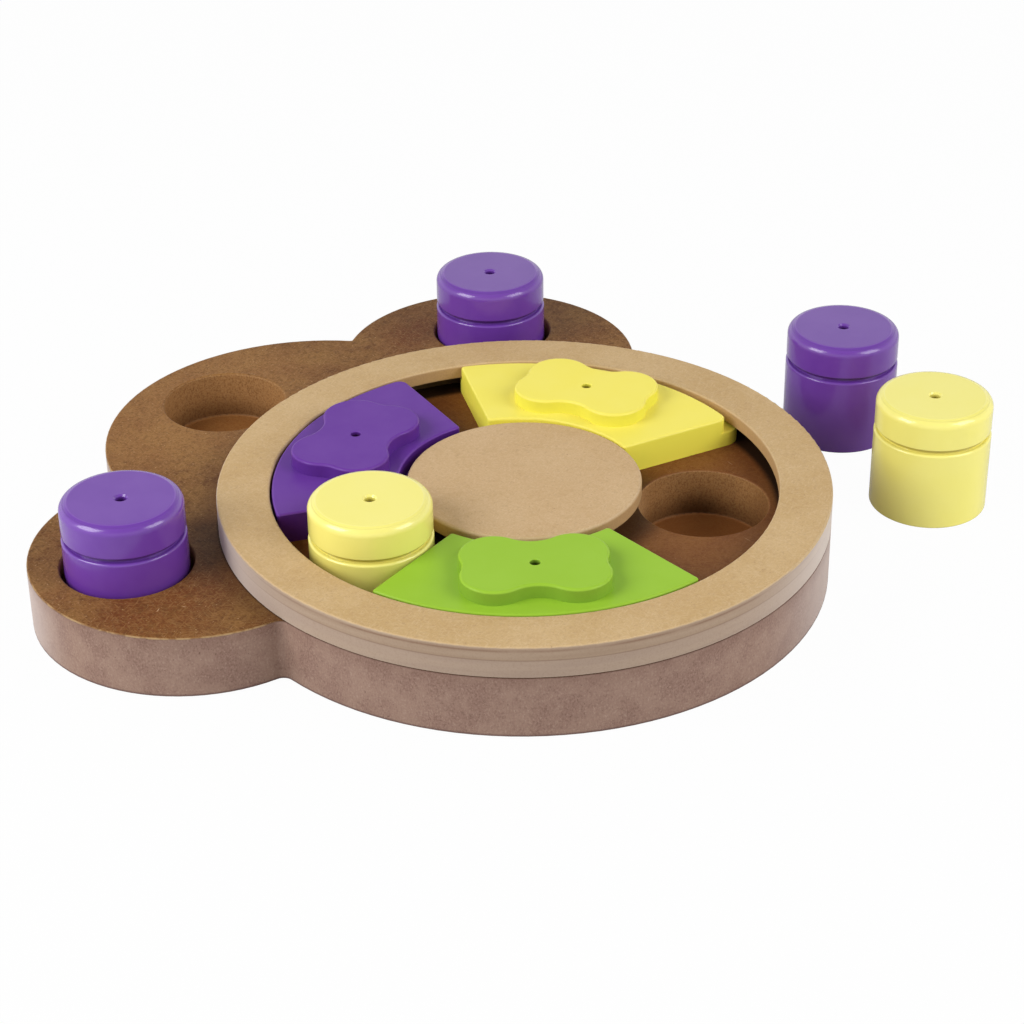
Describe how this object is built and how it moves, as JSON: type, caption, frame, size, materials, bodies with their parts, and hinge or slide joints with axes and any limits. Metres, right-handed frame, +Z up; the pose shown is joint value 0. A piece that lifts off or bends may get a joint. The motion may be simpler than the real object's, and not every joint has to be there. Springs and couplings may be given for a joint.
{
  "type": "dog treat puzzle toy",
  "caption": "Paw-shaped fibreboard treat puzzle with round pockets, loose lift-out pegs and sector sliders with bone-shaped grips in a round track.",
  "frame": {"origin": "the axis of the round track, on the underside of the board", "axes": "+Z up, +Y from the track's axis towards the middle toe, X across the paw"},
  "size_m": [0.3521, 0.326, 0.0539],
  "materials": {
    "stained_board": "stained fibreboard, satin",
    "light_board": "bare fibreboard, satin lacquer",
    "purple_slider_paint": "semi-gloss paint on fibreboard",
    "yellow_slider_paint": "semi-gloss paint on fibreboard",
    "green_slider_paint": "semi-gloss paint on fibreboard",
    "purple_peg_paint": "gloss paint on turned wood",
    "yellow_peg_paint": "gloss paint on turned wood"
  },
  "bodies": {
    "board": {"base_board": "stained_board", "spacer_ring": "light_board", "lip_ring": "light_board", "hub_spacer": "light_board", "centre_disc": "light_board"},
    "purple_slider": {"slider_purple": "purple_slider_paint", "grip_purple": "purple_slider_paint"},
    "yellow_slider": {"slider_yellow": "yellow_slider_paint", "grip_yellow": "yellow_slider_paint"},
    "green_slider": {"slider_green": "green_slider_paint", "grip_green": "green_slider_paint"},
    "peg_left_toe_body": {"peg_left_toe": "purple_peg_paint"},
    "peg_right_toe_body": {"peg_right_toe": "purple_peg_paint"},
    "peg_track_body": {"peg_track": "yellow_peg_paint"},
    "peg_loose_purple_body": {"peg_loose_purple": "purple_peg_paint"},
    "peg_loose_yellow_body": {"peg_loose_yellow": "yellow_peg_paint"}
  },
  "joints": [
    {"name": "purple_slider_turn", "type": "hinge", "parent": "board", "child": "purple_slider", "pos_m": [0, 0, 0.0256], "axis": [0, 0, 1], "range_deg": [-6.3, 0]},
    {"name": "yellow_slider_turn", "type": "hinge", "parent": "board", "child": "yellow_slider", "pos_m": [0, 0, 0.0256], "axis": [0, 0, 1], "range_deg": [-38.5, 6.3]},
    {"name": "green_slider_turn", "type": "hinge", "parent": "board", "child": "green_slider", "pos_m": [0, 0, 0.0256], "axis": [0, 0, 1], "range_deg": [0, 38.5]},
    {"name": "peg_left_toe_lift", "type": "slide", "parent": "board", "child": "peg_left_toe_body", "axis": [0, 0, 1], "range_m": [0, 0.04]},
    {"name": "peg_right_toe_lift", "type": "slide", "parent": "board", "child": "peg_right_toe_body", "axis": [0, 0, 1], "range_m": [0, 0.04]},
    {"name": "peg_track_lift", "type": "slide", "parent": "board", "child": "peg_track_body", "axis": [0, 0, 1], "range_m": [0, 0.04]},
    {"name": "peg_loose_purple_lift", "type": "slide", "parent": "board", "child": "peg_loose_purple_body", "axis": [0, 0, 1], "range_m": [0, 0.04]},
    {"name": "peg_loose_yellow_lift", "type": "slide", "parent": "board", "child": "peg_loose_yellow_body", "axis": [0, 0, 1], "range_m": [0, 0.04]}
  ]
}
